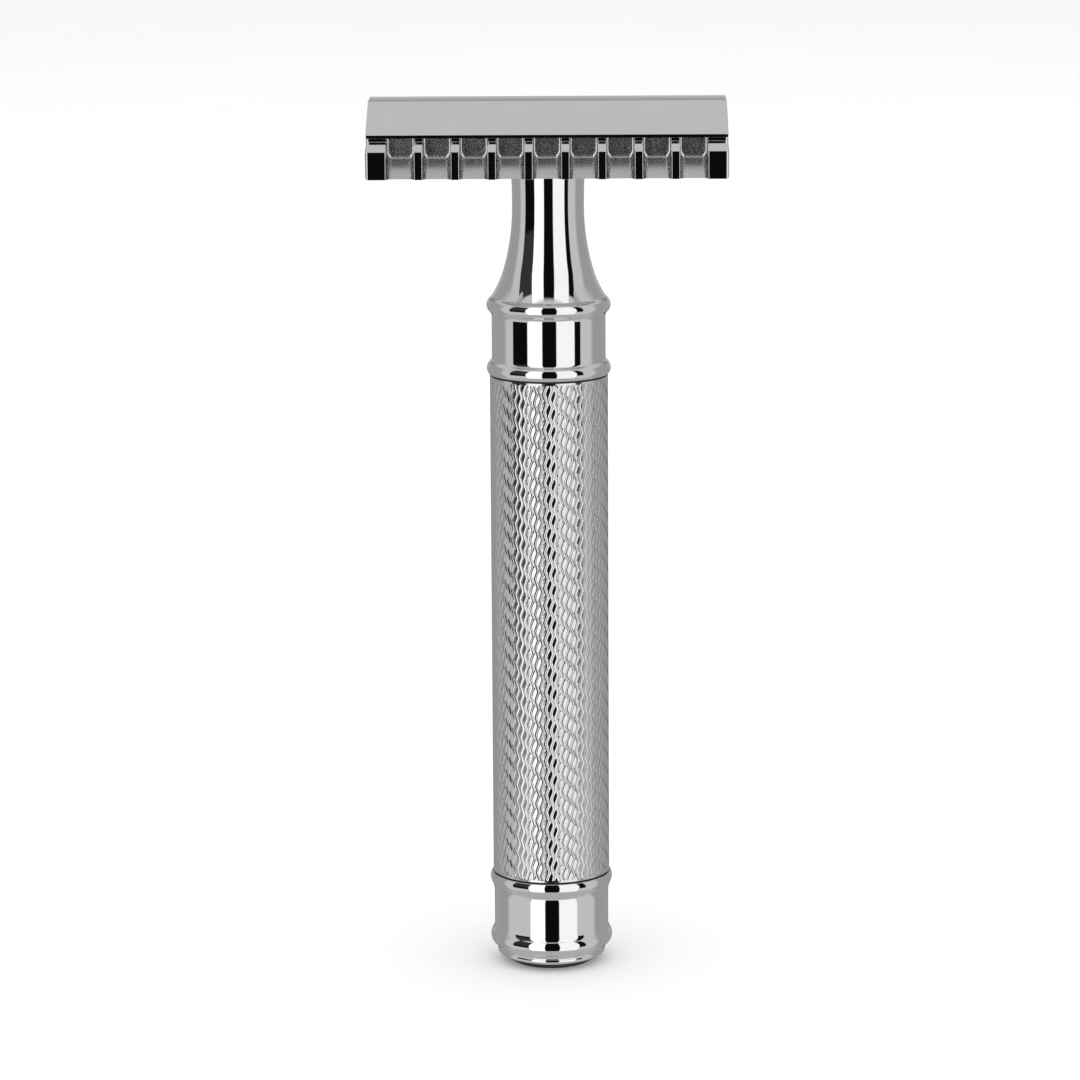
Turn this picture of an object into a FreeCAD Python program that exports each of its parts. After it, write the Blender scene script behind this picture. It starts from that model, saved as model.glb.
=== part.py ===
"""Three-piece open-comb safety razor: screw-down cap, comb plate and tubular handle.

The frame is +Z up the handle, X along the head, with the origin at the centre of the flat
bottom face. All lengths are millimetres and all angles degrees.
"""
import FreeCAD, Part
import math
import os

import Sketcher

SIZES = {
    # handle, from the bottom up
    "button_height": 1.47,
    "button_inset": 0.495,
    "button_rim_radius": 0.42,
    "button_rim_drop": 0.17,
    "button_base_angle": 31.4,
    "button_plug_height": 0.6,
    "knob_height": 9.45,
    "knob_band_inset": 0.115,
    "knob_foot_inset": 0.495,
    "knob_bead_step": 0.33,
    "knob_bead_radius": 1.2,
    "knob_lower_crest_rise": 1.6,
    "knob_lower_bead_height": 2.91,
    "knob_upper_crest_drop": 0.66,
    "knob_upper_bead_height": 2.44,
    "knob_wall": 1.875,
    "seal_thickness": 0.2,
    "seal_inset": 0.25,
    "grip_diameter": 13.75,
    "grip_length": 59.45,
    "grip_wall": 1.125,
    "spigot_length": 4.0,
    "collar_band_inset": 0.26,
    "collar_bead_step": 0.335,
    "collar_bead_radius": 1.03,
    "collar_lower_crest_rise": 0.72,
    "collar_band_bottom": 1.97,
    "collar_band_top": 6.8,
    "collar_upper_crest_rise": 8.12,
    "flare_foot_angle": 40.0,
    "flare_turn_angle": 16.5,
    "flare_lower_share": 0.62,
    "throat_height": 5.05,
    "throat_flare": 0.14,
    "neck_wall": 0.825,
    # threaded joint between head and handle
    "stud_diameter": 5.0,
    "stud_root": 1.1,
    "thread_engagement": 6.6,
    "stud_chamfer": 0.4,
    "stud_tip_gap": 0.6,
    "insert_wall": 0.75,
    "insert_recess": 0.74,
    "insert_floor_gap": 0.5,
    # tie screw and its washers
    "tie_diameter": 4.0,
    "tie_engagement": 8.0,
    "tie_spare_depth": 2.0,
    "tie_head_diameter": 6.8,
    "tie_head_height": 2.5,
    "tie_head_gap": 0.24,
    "tie_socket_width": 3.0,
    "tie_socket_depth": 1.6,
    "washer_margin": 0.6,
    "washer_thickness": 0.6,
    "spring_washer_diameter": 7.0,
    "spring_washer_thickness": 1.0,
    "spring_washer_slit": 0.4,
    # comb plate
    "head_length": 41.05,
    "tooth_reach": 2.2,
    "end_tooth_least": 2.0,
    "plate_thickness": 6.01,
    "seat_depth": 0.5,
    "tooth_width": 0.95,
    "gap_width": 3.2,
    "tooth_crest_inset": 1.26,
    "tooth_crest_rise": 0.1,
    "gutter_width": 1.05,
    "gutter_depth": 1.0,
    "bed_setback": 0.6,
    "gap_wall_inset": 0.6,
    "gap_wall_height": 2.23,
    "gap_floor_run": 2.5,
    "core_roof": 3.0,
    "core_inner_edge": 6.6,
    "core_end_wall": 2.4,
    "core_side_wall": 2.2,
    "core_corner_radius": 1.5,
    # cap, its guide pins and the blade slot
    "cap_depth": 19.6,
    "cap_thickness": 2.0,
    "cap_rim_height": 0.4,
    "cap_crown_half_width": 3.0,
    "cap_crown_drop": 0.09,
    "cap_flank_radius": 55.0,
    "cap_edge_fillet": 0.25,
    "blade_gap": 0.1,
    "blade_angle": 30.0,
    "bed_radius": 9.0,
    "rim_ramp": 0.8,
    "pin_diameter": 2.9,
    "pin_spacing": 25.6,
    "pin_root": 0.9,
    "pin_overhang": 1.1,
    "pin_chamfer": 0.3,
    # clearances
    "running_clearance": 0.05,
    "assembly_clearance": 0.03,
    "screw_clearance": 0.12,
}

OVERSHOOT = 4.0
TOUCH = 0.01

doc = FreeCAD.newDocument("safety_razor")


class Size:
    """A number together with the spreadsheet formula that gives it."""

    def __init__(self, value, formula):
        self.value = value
        self.formula = formula

    @staticmethod
    def of(thing):
        return thing if isinstance(thing, Size) else Size(float(thing), repr(float(thing)))

    def joined(self, other, sign, value):
        return Size(value, f"({self.formula} {sign} {Size.of(other).formula})")

    def __add__(self, other):
        return self.joined(other, "+", self.value + Size.of(other).value)

    def __sub__(self, other):
        return self.joined(other, "-", self.value - Size.of(other).value)

    def __mul__(self, other):
        return self.joined(other, "*", self.value * Size.of(other).value)

    def __truediv__(self, other):
        return self.joined(other, "/", self.value / Size.of(other).value)

    def __neg__(self):
        return self * -1.0


def size(name):
    return Size(SIZES[name], "sizes." + name)


def sine(angle):
    return Size(math.sin(math.radians(angle.value)), f"sin({angle.formula})")


def cosine(angle):
    return Size(math.cos(math.radians(angle.value)), f"cos({angle.formula})")


def root(square):
    return Size(math.sqrt(square.value), f"sqrt({square.formula})")


def whole(number):
    return Size(math.floor(number.value), f"floor({number.formula})")


def tangent_arc_radius(run, rise):
    """Radius of the arc that leaves a straight line at a tangent and drifts run off it in rise."""
    return (rise * rise + run * run) / (run * 2)


# ---------------------------------------------------------------- heights and radii

GRIP_RADIUS = size("grip_diameter") / 2
SPIGOT_RADIUS = GRIP_RADIUS - size("grip_wall") - size("assembly_clearance")
CAVITY_RADIUS = GRIP_RADIUS - size("knob_wall")
STUD_RADIUS = size("stud_diameter") / 2
PIN_RADIUS = size("pin_diameter") / 2
TIE_RADIUS = size("tie_diameter") / 2
INSERT_RADIUS = STUD_RADIUS + size("running_clearance") + size("insert_wall")
INSERT_BORE = INSERT_RADIUS + size("assembly_clearance")
WAIST_RADIUS = INSERT_BORE + size("neck_wall")
THROAT_RADIUS = WAIST_RADIUS + size("throat_flare")

KNOB_BOTTOM = size("button_height")
KNOB_TOP = KNOB_BOTTOM + size("knob_height")
GRIP_BOTTOM = KNOB_TOP + size("seal_thickness")
GRIP_TOP = GRIP_BOTTOM + size("grip_length")
COLLAR_BOTTOM = GRIP_TOP + size("seal_thickness")
COLLAR_CREST_RADIUS = GRIP_RADIUS + size("collar_bead_step")
COLLAR_CREST_HEIGHT = COLLAR_BOTTOM + size("collar_upper_crest_rise")
FOOT_SINE = sine(size("flare_foot_angle"))
FOOT_COSINE = cosine(size("flare_foot_angle"))
TURN_SINE = sine(size("flare_turn_angle"))
TURN_COSINE = cosine(size("flare_turn_angle"))
FLARE_FOOT_RADIUS = COLLAR_CREST_RADIUS - size("collar_bead_radius") * (Size.of(1) - FOOT_COSINE)
FLARE_FOOT_HEIGHT = COLLAR_CREST_HEIGHT + size("collar_bead_radius") * FOOT_SINE
FLARE_RUN = FLARE_FOOT_RADIUS - WAIST_RADIUS
FLARE_LOWER_RADIUS = FLARE_RUN * size("flare_lower_share") / (TURN_COSINE - FOOT_COSINE)
FLARE_UPPER_RADIUS = FLARE_RUN * (Size.of(1) - size("flare_lower_share")) / (Size.of(1) - TURN_COSINE)
FLARE_TURN_HEIGHT = FLARE_FOOT_HEIGHT + FLARE_LOWER_RADIUS * (FOOT_SINE - TURN_SINE)
WAIST_HEIGHT = FLARE_TURN_HEIGHT + FLARE_UPPER_RADIUS * TURN_SINE
NECK_TOP = WAIST_HEIGHT + size("throat_height")
SPIGOT_BOTTOM = GRIP_TOP - size("spigot_length")
INSERT_TOP = NECK_TOP - size("insert_recess")
STUD_TIP = INSERT_TOP - size("thread_engagement")
INSERT_BOTTOM = STUD_TIP - size("stud_tip_gap")
COMB_BOTTOM = NECK_TOP - size("seat_depth")
BED_TOP = COMB_BOTTOM + size("plate_thickness")
CAP_UNDERSIDE = BED_TOP + size("blade_gap")
CAP_TOP = CAP_UNDERSIDE + size("cap_thickness")
PLUG_TOP = KNOB_BOTTOM + size("button_plug_height")
TIE_HEAD_BOTTOM = PLUG_TOP + size("tie_head_gap")
TIE_HEAD_TOP = TIE_HEAD_BOTTOM + size("tie_head_height")
SPRING_WASHER_TOP = TIE_HEAD_TOP + size("spring_washer_thickness")
CAVITY_FLOOR = SPRING_WASHER_TOP + size("washer_thickness")


# ---------------------------------------------------------------- document helpers

def fill_sheet():
    sheet = doc.addObject("Spreadsheet::Sheet", "sizes")
    for row, (alias, value) in enumerate(SIZES.items(), start=1):
        sheet.set(f"A{row}", alias)
        sheet.set(f"B{row}", str(value))
        sheet.setAlias(f"B{row}", alias)
    doc.recompute()


def new_body(label):
    body = doc.addObject("PartDesign::Body", label)
    body.Label = label
    return body


def new_sketch(body, role, offset=None):
    """A sketch on one of the body's origin planes, moved along the plane's normal by offset."""
    sketch = body.newObject("Sketcher::SketchObject", body.Label + "_sketch")
    plane = next(feature for feature in body.Origin.OriginFeatures if feature.Role == role)
    sketch.AttachmentSupport = [(plane, "")]
    sketch.MapMode = "FlatFace"
    if offset is not None:
        sketch.setExpression("AttachmentOffset.Base.z", offset.formula)
    return sketch


def bind(sketch, kind, targets, value):
    index = sketch.addConstraint(Sketcher.Constraint(kind, *targets, value.value))
    sketch.setExpression(f"Constraints[{index}]", value.formula)


def pin_point(sketch, edge, end, point):
    """Hold one end of an edge at a place measured from the sketch's origin."""
    bind(sketch, "DistanceX", (-1, 1, edge, end), Size.of(point[0]))
    bind(sketch, "DistanceY", (-1, 1, edge, end), Size.of(point[1]))


def bend(x, y, radius, side):
    """An arc of under half a turn to (x, y), curving to the left or right of its travel."""
    return (x, y, radius, side)


def vector(point):
    return FreeCAD.Vector(Size.of(point[0]).value, Size.of(point[1]).value, 0)


def add_arc(sketch, start, step):
    """Add the arc of a bend step and return its index and the end where the step starts."""
    begin, finish = vector(start), vector(step)
    chord = finish - begin
    half = chord.Length / 2
    radius = step[2]
    turns_left = step[3] == "left"
    across = FreeCAD.Vector(-chord.y, chord.x, 0) / chord.Length
    rise = math.sqrt(radius.value ** 2 - half ** 2) * (1 if turns_left else -1)
    centre = begin + chord / 2 + across * rise
    circle = Part.Circle(centre, FreeCAD.Vector(0, 0, 1), radius.value)
    first, last = (begin, finish) if turns_left else (finish, begin)
    angles = [math.atan2(p.y - centre.y, p.x - centre.x) for p in (first, last)]
    edge = sketch.addGeometry(Part.ArcOfCircle(circle, angles[0], angles[1]))
    bind(sketch, "Radius", (edge,), radius)
    return edge, (1 if turns_left else 2)


def trace(sketch, steps):
    """Draw a closed outline through the steps, each a point or a bend, and bind every size."""
    edges = []
    for start, step in zip(steps, steps[1:] + steps[:1]):
        if len(step) == 2:
            edges.append((sketch.addGeometry(Part.LineSegment(vector(start), vector(step))), 1))
        else:
            edges.append(add_arc(sketch, start, step))
    for (edge, end), (before, before_end) in zip(edges, edges[-1:] + edges[:-1]):
        sketch.addConstraint(Sketcher.Constraint("Coincident", before, 3 - before_end, edge, end))
    for (edge, end), start in zip(edges, steps):
        pin_point(sketch, edge, end, start)


def rectangle(low_x, low_y, high_x, high_y):
    return [(low_x, low_y), (high_x, low_y), (high_x, high_y), (low_x, high_y)]


def rounded_rectangle(low_x, low_y, high_x, high_y, radius):
    return [
        bend(low_x + radius, low_y, radius, "left"),
        (high_x - radius, low_y),
        bend(high_x, low_y + radius, radius, "left"),
        (high_x, high_y - radius),
        bend(high_x - radius, high_y, radius, "left"),
        (low_x + radius, high_y),
        bend(low_x, high_y - radius, radius, "left"),
        (low_x, low_y + radius),
    ]


def hexagon(across_flats):
    """Corner points of a hexagon centred on the sketch's origin."""
    corner = across_flats / math.sqrt(3.0)
    turns = [math.radians(60.0 * step) for step in range(6)]
    return [(corner * math.cos(turn), corner * math.sin(turn)) for turn in turns]


def circle_at(sketch, x, y, radius):
    centre = vector((x, y))
    edge = sketch.addGeometry(Part.Circle(centre, FreeCAD.Vector(0, 0, 1), radius.value))
    pin_point(sketch, edge, 3, (x, y))
    bind(sketch, "Radius", (edge,), radius)


# ---------------------------------------------------------------- feature helpers

def lathe(label, outline):
    """Turn a half section, drawn as radius and height, through a full circle about Z."""
    body = new_body(label)
    section = new_sketch(body, "XZ_Plane")
    trace(section, outline)
    turned = body.newObject("PartDesign::Revolution", label + "_turned")
    turned.Profile = section
    turned.ReferenceAxis = (section, ["V_Axis"])
    turned.Angle = 360
    doc.recompute()
    return body


def extrude_along_x(body, outline, length):
    """Pad an outline of Y and Z points equally to both sides of the YZ plane."""
    section = new_sketch(body, "YZ_Plane")
    trace(section, outline)
    pad = body.newObject("PartDesign::Pad", body.Label + "_pad")
    pad.Profile = section
    pad.SideType = "Symmetric"
    pad.setExpression("Length", length.formula)
    doc.recompute()
    return pad


def pocket(body, section, depth=None, reverse=False, symmetric=False):
    """Cut a sketch into the body, right through it when no depth is given."""
    before = body.Shape.Volume
    cut = body.newObject("PartDesign::Pocket", body.Label + "_pocket")
    cut.Profile = section
    cut.Reversed = reverse
    if symmetric:
        cut.SideType = "Symmetric"
    if depth is None:
        cut.Type = "ThroughAll"
    else:
        cut.setExpression("Length", depth.formula)
    doc.recompute()
    if body.Shape.Volume > before - 1e-6:
        raise RuntimeError(f"{cut.Name} removes nothing from {body.Label}")
    return cut


def edges_where(shape, wanted):
    return [f"Edge{i}" for i, edge in enumerate(shape.Edges, start=1) if wanted(edge)]


def cylinder(name, radius, bottom, height):
    solid = doc.addObject("Part::Cylinder", name)
    solid.setExpression("Radius", radius.formula)
    solid.setExpression("Height", height.formula)
    solid.setExpression("Placement.Base.z", bottom.formula)
    return solid


def cut_away(name, base, tool):
    cut = doc.addObject("Part::Cut", name)
    cut.Label = name
    cut.Base = base
    cut.Tool = tool
    return cut


def tube(label, outer_radius, bore_radius, bottom, height):
    """A plain tube, bush or washer about the Z axis."""
    blank = cylinder(label + "_blank", outer_radius, bottom, height)
    bore = cylinder(label + "_bore", bore_radius, bottom, height)
    return cut_away(label, blank, bore)


# ---------------------------------------------------------------- handle

def bead_foot(crest, crest_height, radius, wall, wall_height):
    """Where a bead's round turns into the fillet that runs out on a wall, and the fillet's radius."""
    offset = wall - crest + radius
    rise = wall_height - crest_height
    fillet = (rise * rise + offset * offset - radius * radius) / ((radius - offset) * 2)
    share = radius / (radius + fillet)
    turning_point = (crest - radius + (offset + fillet) * share, crest_height + rise * share)
    return turning_point, fillet


def cut_bead(crest, radius, distance):
    """Radius at which a bead is cut off square, at a distance from its crest."""
    return crest - radius + root(radius * radius - distance * distance)


def end_button():
    """Disc with a rounded rim over a sloping underside and a flat base."""
    radius = GRIP_RADIUS - size("button_inset")
    rim = size("button_rim_radius")
    rim_height = KNOB_BOTTOM - size("button_rim_drop")
    slope_sine = sine(size("button_base_angle"))
    slope_cosine = cosine(size("button_base_angle"))
    slope_top = (radius - rim + rim * slope_sine, rim_height - rim * slope_cosine)
    base_radius = slope_top[0] - slope_top[1] * slope_cosine / slope_sine
    plug_radius = CAVITY_RADIUS - size("assembly_clearance")
    return lathe("end_button", [
        (0, 0),
        (base_radius, 0),
        slope_top,
        bend(cut_bead(radius, rim, size("button_rim_drop")), KNOB_BOTTOM, rim, "left"),
        (plug_radius, KNOB_BOTTOM),
        (plug_radius, PLUG_TOP),
        (0, PLUG_TOP),
    ])


def end_knob():
    """Beaded end piece: a spigot enters the grip, a cavity below holds the tie screw's head."""
    band = GRIP_RADIUS - size("knob_band_inset")
    foot = GRIP_RADIUS - size("knob_foot_inset")
    crest = GRIP_RADIUS + size("knob_bead_step")
    bead = size("knob_bead_radius")
    hole = TIE_RADIUS + size("screw_clearance")
    spigot_top = GRIP_BOTTOM + size("spigot_length")
    lower_crest = KNOB_BOTTOM + size("knob_lower_crest_rise")
    band_bottom = KNOB_BOTTOM + size("knob_lower_bead_height")
    upper_crest = KNOB_TOP - size("knob_upper_crest_drop")
    band_top = KNOB_TOP - size("knob_upper_bead_height")
    low_turn, low_fillet = bead_foot(crest, lower_crest, bead, foot, KNOB_BOTTOM)
    middle_turn, middle_fillet = bead_foot(crest, lower_crest, bead, band, band_bottom)
    high_turn, high_fillet = bead_foot(crest, upper_crest, bead, band, band_top)
    return lathe("end_knob", [
        (CAVITY_RADIUS, KNOB_BOTTOM),
        (foot, KNOB_BOTTOM),
        bend(*low_turn, low_fillet, "right"),
        bend(*middle_turn, bead, "left"),
        bend(band, band_bottom, middle_fillet, "right"),
        (band, band_top),
        bend(*high_turn, high_fillet, "right"),
        bend(cut_bead(crest, bead, size("knob_upper_crest_drop")), KNOB_TOP, bead, "left"),
        (SPIGOT_RADIUS, KNOB_TOP),
        (SPIGOT_RADIUS, spigot_top),
        (hole, spigot_top),
        (hole, CAVITY_FLOOR),
        (CAVITY_RADIUS, CAVITY_FLOOR),
    ])


def grip_sleeve():
    bore = GRIP_RADIUS - size("grip_wall")
    return tube("grip_sleeve", GRIP_RADIUS, bore, GRIP_BOTTOM, size("grip_length"))


def seal_ring(label, bottom):
    outer = GRIP_RADIUS - size("seal_inset")
    inner = SPIGOT_RADIUS + size("assembly_clearance")
    return tube(label, outer, inner, bottom, size("seal_thickness"))


def neck():
    """Flared neck with a beaded collar at its foot and a spigot that enters the grip.

    The tie screw's tapped hole opens at the bottom and the threaded insert's bore at the top.
    """
    band = GRIP_RADIUS - size("collar_band_inset")
    bead = size("collar_bead_radius")
    lower_crest = COLLAR_BOTTOM + size("collar_lower_crest_rise")
    band_bottom = COLLAR_BOTTOM + size("collar_band_bottom")
    band_top = COLLAR_BOTTOM + size("collar_band_top")
    seam = cut_bead(COLLAR_CREST_RADIUS, bead, size("collar_lower_crest_rise"))
    low_turn, low_fillet = bead_foot(COLLAR_CREST_RADIUS, lower_crest, bead, band, band_bottom)
    high_turn, high_fillet = bead_foot(COLLAR_CREST_RADIUS, COLLAR_CREST_HEIGHT, bead, band, band_top)
    flare_turn = FLARE_FOOT_RADIUS - FLARE_RUN * size("flare_lower_share")
    throat_sweep = tangent_arc_radius(size("throat_flare"), size("throat_height"))
    tapped = TIE_RADIUS + size("assembly_clearance")
    tapped_top = SPIGOT_BOTTOM + size("tie_engagement") + size("tie_spare_depth")
    well = STUD_RADIUS + size("running_clearance")
    well_floor = INSERT_BOTTOM - size("insert_floor_gap")
    return lathe("neck", [
        (0, tapped_top),
        (tapped, tapped_top),
        (tapped, SPIGOT_BOTTOM),
        (SPIGOT_RADIUS, SPIGOT_BOTTOM),
        (SPIGOT_RADIUS, COLLAR_BOTTOM),
        (seam, COLLAR_BOTTOM),
        bend(*low_turn, bead, "left"),
        bend(band, band_bottom, low_fillet, "right"),
        (band, band_top),
        bend(*high_turn, high_fillet, "right"),
        bend(FLARE_FOOT_RADIUS, FLARE_FOOT_HEIGHT, bead, "left"),
        bend(flare_turn, FLARE_TURN_HEIGHT, FLARE_LOWER_RADIUS, "right"),
        bend(WAIST_RADIUS, WAIST_HEIGHT, FLARE_UPPER_RADIUS, "right"),
        bend(THROAT_RADIUS, NECK_TOP, throat_sweep, "right"),
        (INSERT_BORE, NECK_TOP),
        (INSERT_BORE, INSERT_BOTTOM),
        (well, INSERT_BOTTOM),
        (well, well_floor),
        (0, well_floor),
    ])


def neck_insert():
    """Bush that carries the thread for the cap's stud."""
    bore = STUD_RADIUS + size("running_clearance")
    return tube("neck_insert", INSERT_RADIUS, bore, INSERT_BOTTOM, INSERT_TOP - INSERT_BOTTOM)


def tie_screw():
    """Cap screw that pulls the knob and the grip up against the neck."""
    head_radius = size("tie_head_diameter") / 2
    tip = SPIGOT_BOTTOM + size("tie_engagement")
    body = lathe("tie_screw", [
        (0, TIE_HEAD_BOTTOM),
        (head_radius, TIE_HEAD_BOTTOM),
        (head_radius, TIE_HEAD_TOP),
        (TIE_RADIUS, TIE_HEAD_TOP),
        (TIE_RADIUS, tip),
        (0, tip),
    ])
    socket = new_sketch(body, "XY_Plane", TIE_HEAD_BOTTOM)
    trace(socket, hexagon(size("tie_socket_width")))
    pocket(body, socket, size("tie_socket_depth"), reverse=True)
    return body


def flat_washer():
    rim = CAVITY_RADIUS - size("washer_margin")
    hole = TIE_RADIUS + size("screw_clearance")
    return tube("flat_washer", rim, hole, SPRING_WASHER_TOP, size("washer_thickness"))


def spring_washer():
    """Split ring, held flat under the tie screw's head."""
    radius = size("spring_washer_diameter") / 2
    thickness = size("spring_washer_thickness")
    hole = TIE_RADIUS + size("screw_clearance")
    ring = tube("spring_washer_ring", radius, hole, TIE_HEAD_TOP, thickness)
    slit = doc.addObject("Part::Box", "spring_washer_slit")
    slit.setExpression("Length", radius.formula)
    slit.setExpression("Width", size("spring_washer_slit").formula)
    slit.setExpression("Height", (thickness * 3).formula)
    slit.Placement.Rotation = FreeCAD.Rotation(FreeCAD.Vector(1, 0, 0), 20)
    slit.setExpression("Placement.Base.z", (TIE_HEAD_TOP - thickness).formula)
    return cut_away("spring_washer", ring, slit)


# ---------------------------------------------------------------- comb plate

RIM_Y = size("cap_depth") / 2
BED_CENTRE_Y = RIM_Y - size("rim_ramp") - size("bed_radius") * sine(size("blade_angle"))
BED_CENTRE_Z = CAP_UNDERSIDE - size("bed_radius")
BED_EDGE_Y = RIM_Y - size("bed_setback")
COMB_FRONT_Y = RIM_Y + size("tooth_reach")
RAMP_SLOPE = sine(size("blade_angle")) / cosine(size("blade_angle"))


def mirrored(points, bridge=()):
    """A half outline at positive Y joined to its mirror image.

    The two halves meet in a straight line, or in an arc when bridge gives its radius and side.
    """
    images = []
    for point, following in zip(points, points[1:] + [points[-1][:2] + bridge]):
        images.append((-point[0], point[1]) + following[2:])
    return points + images[::-1]


def bend_end(radius):
    """Where the blade's bend runs out into the straight ramp, at this distance from its centre."""
    y = BED_CENTRE_Y + radius * sine(size("blade_angle"))
    z = BED_CENTRE_Z + radius * cosine(size("blade_angle"))
    return y, z


def comb_outline():
    bed_radius = size("bed_radius") - size("blade_gap")
    bend_y, bend_z = bend_end(bed_radius)
    bed_edge_z = bend_z - (BED_EDGE_Y - bend_y) * RAMP_SLOPE
    crest_y = COMB_FRONT_Y - size("tooth_crest_inset")
    crest_z = bend_z - (crest_y - bend_y) * RAMP_SLOPE + size("tooth_crest_rise")
    face_top = crest_z - size("tooth_crest_inset") * RAMP_SLOPE
    gutter_z = crest_z - size("gutter_depth")
    return mirrored([
        (COMB_FRONT_Y, COMB_BOTTOM),
        (COMB_FRONT_Y, face_top),
        (crest_y, crest_z),
        (BED_EDGE_Y + size("gutter_width"), gutter_z),
        (BED_EDGE_Y, gutter_z),
        (BED_EDGE_Y, bed_edge_z),
        (bend_y, bend_z),
        bend(BED_CENTRE_Y, BED_TOP, bed_radius, "left"),
    ])


def cut_gaps(body):
    """Open the gaps between the teeth, on both sides at once, then repeat them along the head."""
    pitch = size("tooth_width") + size("gap_width")
    room = size("head_length") - size("end_tooth_least") * 2 + size("tooth_width")
    gap_count = whole(room / pitch)
    span = pitch * (gap_count - 1)
    wall = BED_EDGE_Y - size("gap_wall_inset")
    floor_end = wall + size("gap_floor_run")
    low = COMB_BOTTOM - OVERSHOOT
    high = BED_TOP + OVERSHOOT
    outside = COMB_FRONT_Y + OVERSHOOT
    section = new_sketch(body, "YZ_Plane", span / -2)
    near = [
        (wall, COMB_BOTTOM + size("gap_wall_height")),
        (floor_end, COMB_BOTTOM),
        (floor_end, low),
        (outside, low),
        (outside, high),
        (wall, high),
    ]
    trace(section, near)
    trace(section, [(-y, z) for y, z in near])
    gap = pocket(body, section, size("gap_width"), symmetric=True)
    pattern = body.newObject("PartDesign::LinearPattern", "gap_pattern")
    pattern.Originals = [gap]
    axis = next(feature for feature in body.Origin.OriginFeatures if feature.Role == "X_Axis")
    pattern.Direction = (axis, [""])
    pattern.setExpression("Length", span.formula)
    pattern.setExpression("Occurrences", gap_count.formula)
    body.Tip = pattern
    doc.recompute()


def cut_cores(body):
    """Hollow the underside to the left and right of the block that carries the neck seat."""
    inner = size("core_inner_edge")
    outer = size("head_length") / 2 - size("core_end_wall")
    half = BED_EDGE_Y - size("core_side_wall")
    section = new_sketch(body, "XY_Plane", COMB_BOTTOM)
    trace(section, rounded_rectangle(inner, -half, outer, half, size("core_corner_radius")))
    trace(section, rounded_rectangle(-outer, -half, -inner, half, size("core_corner_radius")))
    pocket(body, section, size("plate_thickness") - size("core_roof"), reverse=True)


def comb_plate():
    body = new_body("comb_plate")
    extrude_along_x(body, comb_outline(), size("head_length"))
    cut_gaps(body)
    cut_cores(body)
    seat = new_sketch(body, "XY_Plane", COMB_BOTTOM)
    circle_at(seat, 0, 0, THROAT_RADIUS + size("running_clearance"))
    pocket(body, seat, size("seat_depth"), reverse=True)
    holes = new_sketch(body, "XY_Plane", COMB_BOTTOM)
    circle_at(holes, 0, 0, STUD_RADIUS + size("running_clearance"))
    for side in (-1, 1):
        circle_at(holes, size("pin_spacing") / 2 * side, 0, PIN_RADIUS + size("running_clearance"))
    pocket(body, holes, reverse=True)
    return body


# ---------------------------------------------------------------- cap

def cap_outline():
    bend_y, bend_z = bend_end(size("bed_radius"))
    rim_low = bend_z - size("rim_ramp") * RAMP_SLOPE
    crown_half = size("cap_crown_half_width")
    crown_drop = size("cap_crown_drop")
    crown_radius = tangent_arc_radius(crown_drop, crown_half)
    half = [
        (BED_CENTRE_Y, CAP_UNDERSIDE),
        bend(bend_y, bend_z, size("bed_radius"), "right"),
        (RIM_Y, rim_low),
        (RIM_Y, rim_low + size("cap_rim_height")),
        bend(crown_half, CAP_TOP - crown_drop, size("cap_flank_radius"), "left"),
    ]
    return mirrored(half, (crown_radius, "left"))


def top_cap():
    """Crowned cap that bends the blade over the comb and clamps it."""
    body = new_body("top_cap")
    pad = extrude_along_x(body, cap_outline(), size("head_length"))
    rounding = body.newObject("PartDesign::Fillet", "cap_rounding")
    crown_edge = (CAP_TOP - size("cap_crown_drop")).value - TOUCH
    names = edges_where(pad.Shape, lambda edge: max(v.Z for v in edge.Vertexes) > crown_edge)
    rounding.Base = (pad, names)
    rounding.setExpression("Radius", size("cap_edge_fillet").formula)
    doc.recompute()
    sockets = new_sketch(body, "XY_Plane", CAP_UNDERSIDE)
    circle_at(sockets, 0, 0, STUD_RADIUS)
    pocket(body, sockets, size("stud_root"), reverse=True)
    sockets = new_sketch(body, "XY_Plane", CAP_UNDERSIDE)
    for side in (-1, 1):
        circle_at(sockets, size("pin_spacing") / 2 * side, 0, PIN_RADIUS)
    pocket(body, sockets, size("pin_root"), reverse=True)
    return body


def chamfered_rod(label, radius, bottom, top, chamfer):
    """A rod about the Z axis with its lower end chamfered."""
    return lathe(label, [
        (0, bottom),
        (radius - chamfer, bottom),
        (radius, bottom + chamfer),
        (radius, top),
        (0, top),
    ])


def clamp_stud():
    top = CAP_UNDERSIDE + size("stud_root")
    radius = STUD_RADIUS - size("assembly_clearance")
    return chamfered_rod("clamp_stud", radius, STUD_TIP, top, size("stud_chamfer"))


def guide_pin(label, side):
    bottom = BED_TOP - size("core_roof") - size("pin_overhang")
    top = CAP_UNDERSIDE + size("pin_root")
    radius = PIN_RADIUS - size("assembly_clearance")
    body = chamfered_rod(label, radius, bottom, top, size("pin_chamfer"))
    body.setExpression("Placement.Base.x", (size("pin_spacing") / 2 * side).formula)
    return body


# ---------------------------------------------------------------- build, check and write

def build():
    fill_sheet()
    parts = [
        end_button(), end_knob(), flat_washer(), spring_washer(), tie_screw(),
        seal_ring("lower_seal_ring", KNOB_TOP), grip_sleeve(),
        seal_ring("upper_seal_ring", GRIP_TOP), neck(), neck_insert(),
        comb_plate(), top_cap(), clamp_stud(),
        guide_pin("guide_pin_left", -1), guide_pin("guide_pin_right", 1),
    ]
    doc.recompute()
    return parts


def check(parts):
    for item in doc.Objects:
        if "Invalid" in item.State or "Error" in item.State:
            raise RuntimeError(f"{item.Name} failed to build: {item.State}")
    for part in parts:
        if part.Shape.isNull() or not part.Shape.isValid() or len(part.Shape.Solids) != 1:
            raise RuntimeError(f"{part.Label} is not one valid solid")


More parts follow.
